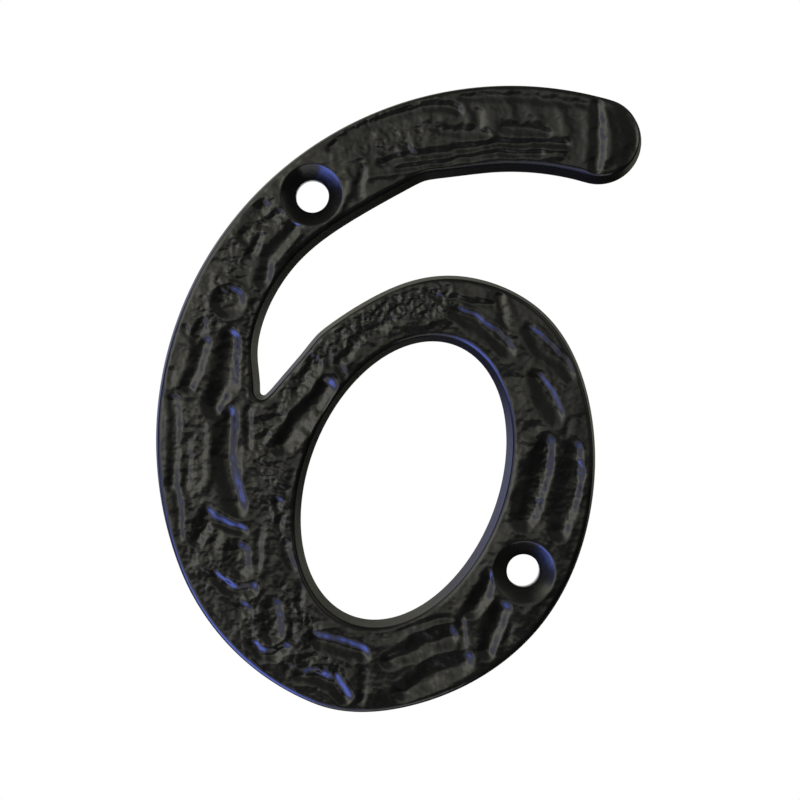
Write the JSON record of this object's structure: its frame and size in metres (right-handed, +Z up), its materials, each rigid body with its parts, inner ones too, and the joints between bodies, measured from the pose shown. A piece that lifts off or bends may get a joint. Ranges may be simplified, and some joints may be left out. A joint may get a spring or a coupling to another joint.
{
  "type": "house number",
  "caption": "House number in the form of a figure six: flat-backed hammered casting with an open eye, a curved arm and countersunk screw holes for fixing to a door or wall.",
  "frame": {"origin": "midway between the screw holes, on the flat back face", "axes": "+Z up the figure, +X to the right as it is read, -Y out of the hammered front, +Y into the wall"},
  "size_m": [0.059, 0.0045, 0.0761],
  "materials": {
    "black_paint": "black satin paint over a hammered casting"
  },
  "bodies": {
    "root": {"numeral_six": "black_paint"}
  },
  "joints": []
}
